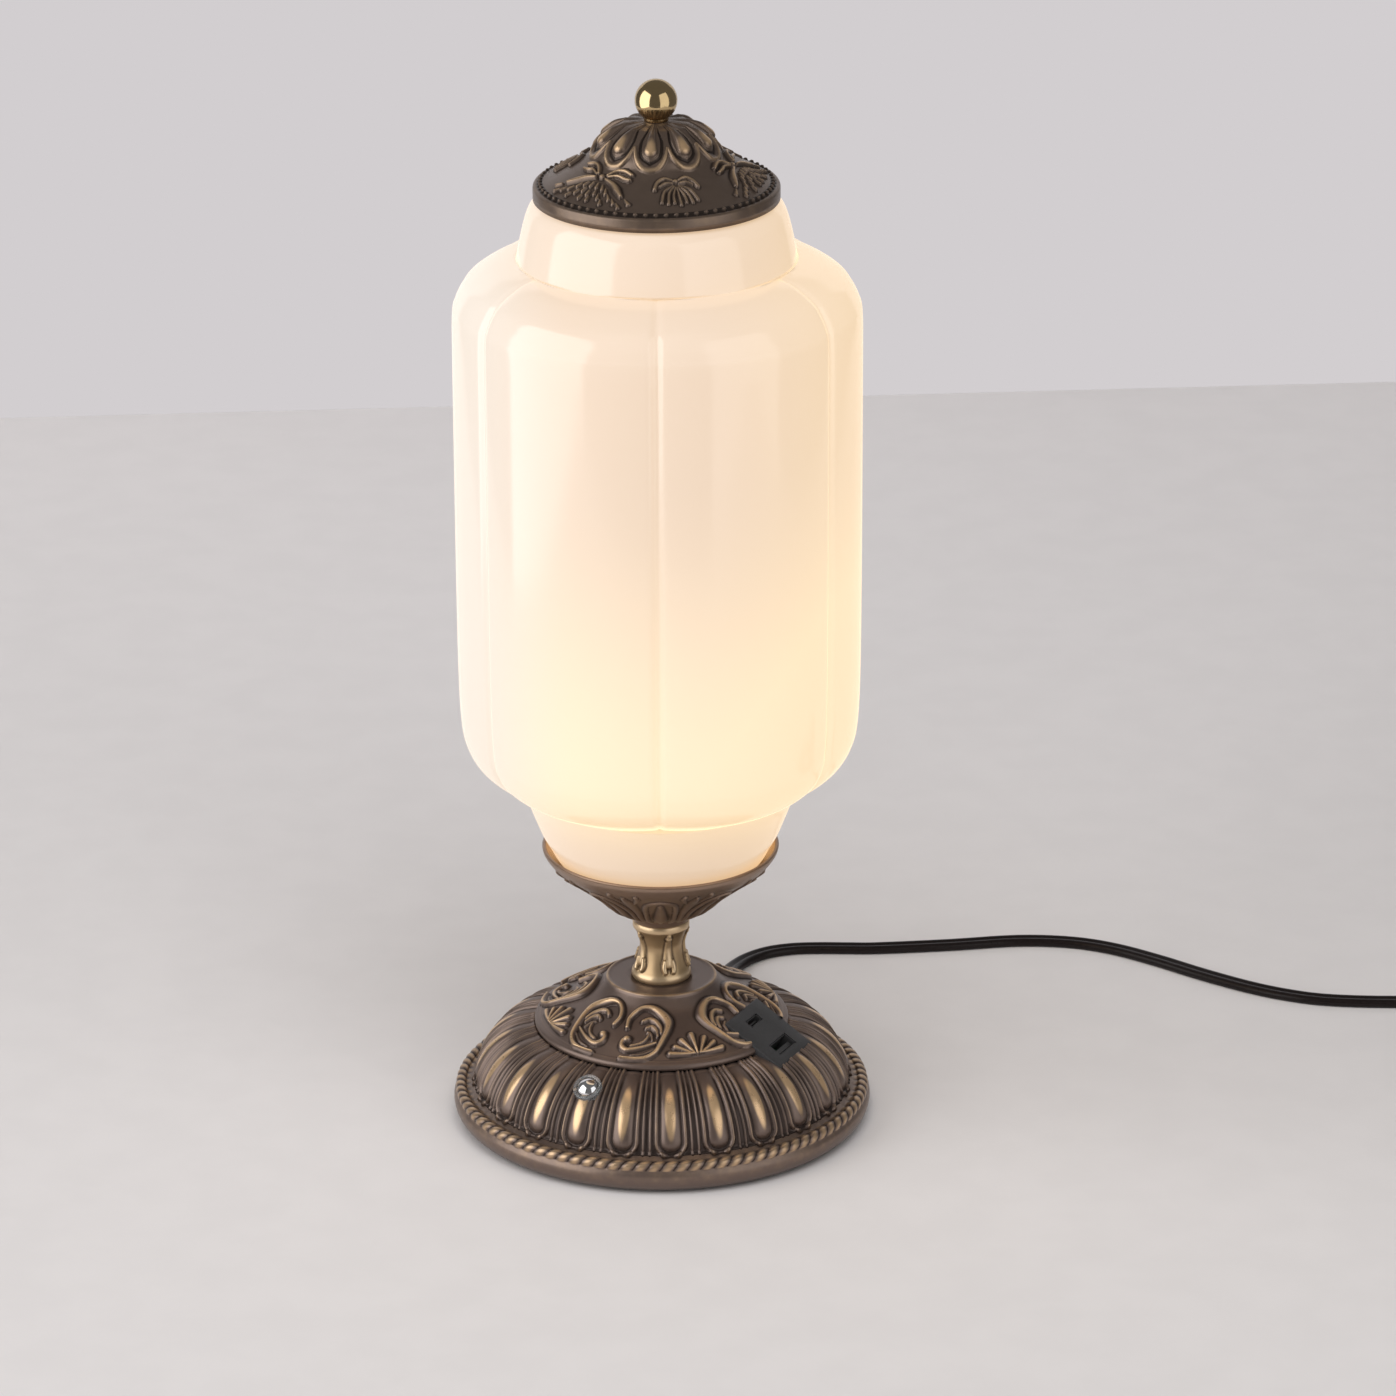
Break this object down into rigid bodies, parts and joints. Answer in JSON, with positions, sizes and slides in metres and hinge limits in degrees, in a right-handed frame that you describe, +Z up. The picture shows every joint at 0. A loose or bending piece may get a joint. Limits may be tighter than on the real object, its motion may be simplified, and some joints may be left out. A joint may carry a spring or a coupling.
{
  "type": "table lamp",
  "caption": "Table lamp with a tall lobed opal glass shade in a bronze cup, a capped ball finial, and a fluted cast base with a push switch and charging ports.",
  "frame": {"origin": "on the table under the lamp's vertical axis, at the bottom of the felt pad", "axes": "+Z up along the lamp's axis, the front with the switch faces -Y, the cord runs off towards +X"},
  "size_m": [0.5261, 0.2403, 0.4112],
  "materials": {
    "felt": "woven felt",
    "steel": "zinc plated",
    "iron": "rough cast",
    "bronze": "antique dark bronze with rubbed gold crests",
    "bronze_cup": "antique dark bronze, brass inside",
    "bronze_cap": "antique dark bronze with rubbed gold crests",
    "antique_brass": "antiqued, dark in the hollows",
    "polished_brass": "polished",
    "brass": "stamped, satin",
    "plated_brass": "bright",
    "opal_glass": "opal, gloss outside",
    "frosted_glass": "frosted",
    "filament": "phosphor coat",
    "aluminium": "rolled thread",
    "chrome": "polished",
    "clear_plastic": "clear",
    "charcoal_plastic": "fine satin",
    "black_plastic": "moulded",
    "white_plastic": "moulded",
    "circuit_board": "solder mask",
    "tape": "wrapped tape",
    "capacitor_sleeve": "shrunk sleeve",
    "wire": "sleeved leads",
    "silicone": "translucent white",
    "card": "pressed card",
    "cord_black": "smooth satin",
    "tie_black": "flat strap"
  },
  "bodies": {
    "base": {"felt_pad": "felt", "bottom_plate": "steel", "bottom_screws": "steel", "ballast": "iron", "base_shell": "bronze", "board_posts": "white_plastic", "power_board": "circuit_board", "transformer": "tape", "capacitor": "capacitor_sleeve", "inner_wires": "wire", "usb_housing": "charcoal_plastic", "usb_board": "circuit_board", "usb_c_shell": "steel", "usb_c_tongue": "black_plastic", "usb_a_shell": "steel", "usb_a_tongue": "white_plastic", "button_collar": "clear_plastic", "switch_body": "black_plastic", "base_washer": "steel", "base_nut": "brass", "threaded_tube": "steel", "neck": "antique_brass", "cup": "bronze_cup", "cup_washer": "steel", "cup_gasket": "silicone", "holder_cap": "brass", "holder_shell": "brass", "holder_liner": "card", "holder_body": "black_plastic", "screw_shell": "brass", "contact_tab": "brass", "cord_gland": "cord_black", "cord_run": "cord_black", "cord_coil": "cord_black", "cord_tie": "tie_black", "plug_body": "cord_black", "plug_blades": "plated_brass"},
    "shade": {"shade": "opal_glass"},
    "cap": {"cap": "bronze_cap", "finial_nut": "brass"},
    "finial": {"finial": "polished_brass"},
    "bulb": {"bulb_base": "aluminium", "bulb_globe": "frosted_glass", "bulb_stem": "filament"},
    "button": {"button": "chrome"}
  },
  "joints": [
    {"name": "shade_lift", "type": "slide", "parent": "base", "child": "shade", "axis": [0, 0, 1], "range_m": [0, 0.12]},
    {"name": "cap_lift", "type": "slide", "parent": "shade", "child": "cap", "axis": [0, 0, 1], "range_m": [0, 0.04]},
    {"name": "finial_turn", "type": "hinge", "parent": "cap", "child": "finial", "pos_m": [0, 0, 0.396], "axis": [0, 0, 1], "continuous": true},
    {"name": "bulb_turn", "type": "hinge", "parent": "base", "child": "bulb", "pos_m": [0, 0, 0.13], "axis": [0, 0, 1], "continuous": true},
    {"name": "button_press", "type": "slide", "parent": "base", "child": "button", "axis": [0.2539, 0.4982, -0.829], "range_m": [0, 0.0012], "stiffness_N_per_m": 1500, "springref_m": -0.0006}
  ]
}
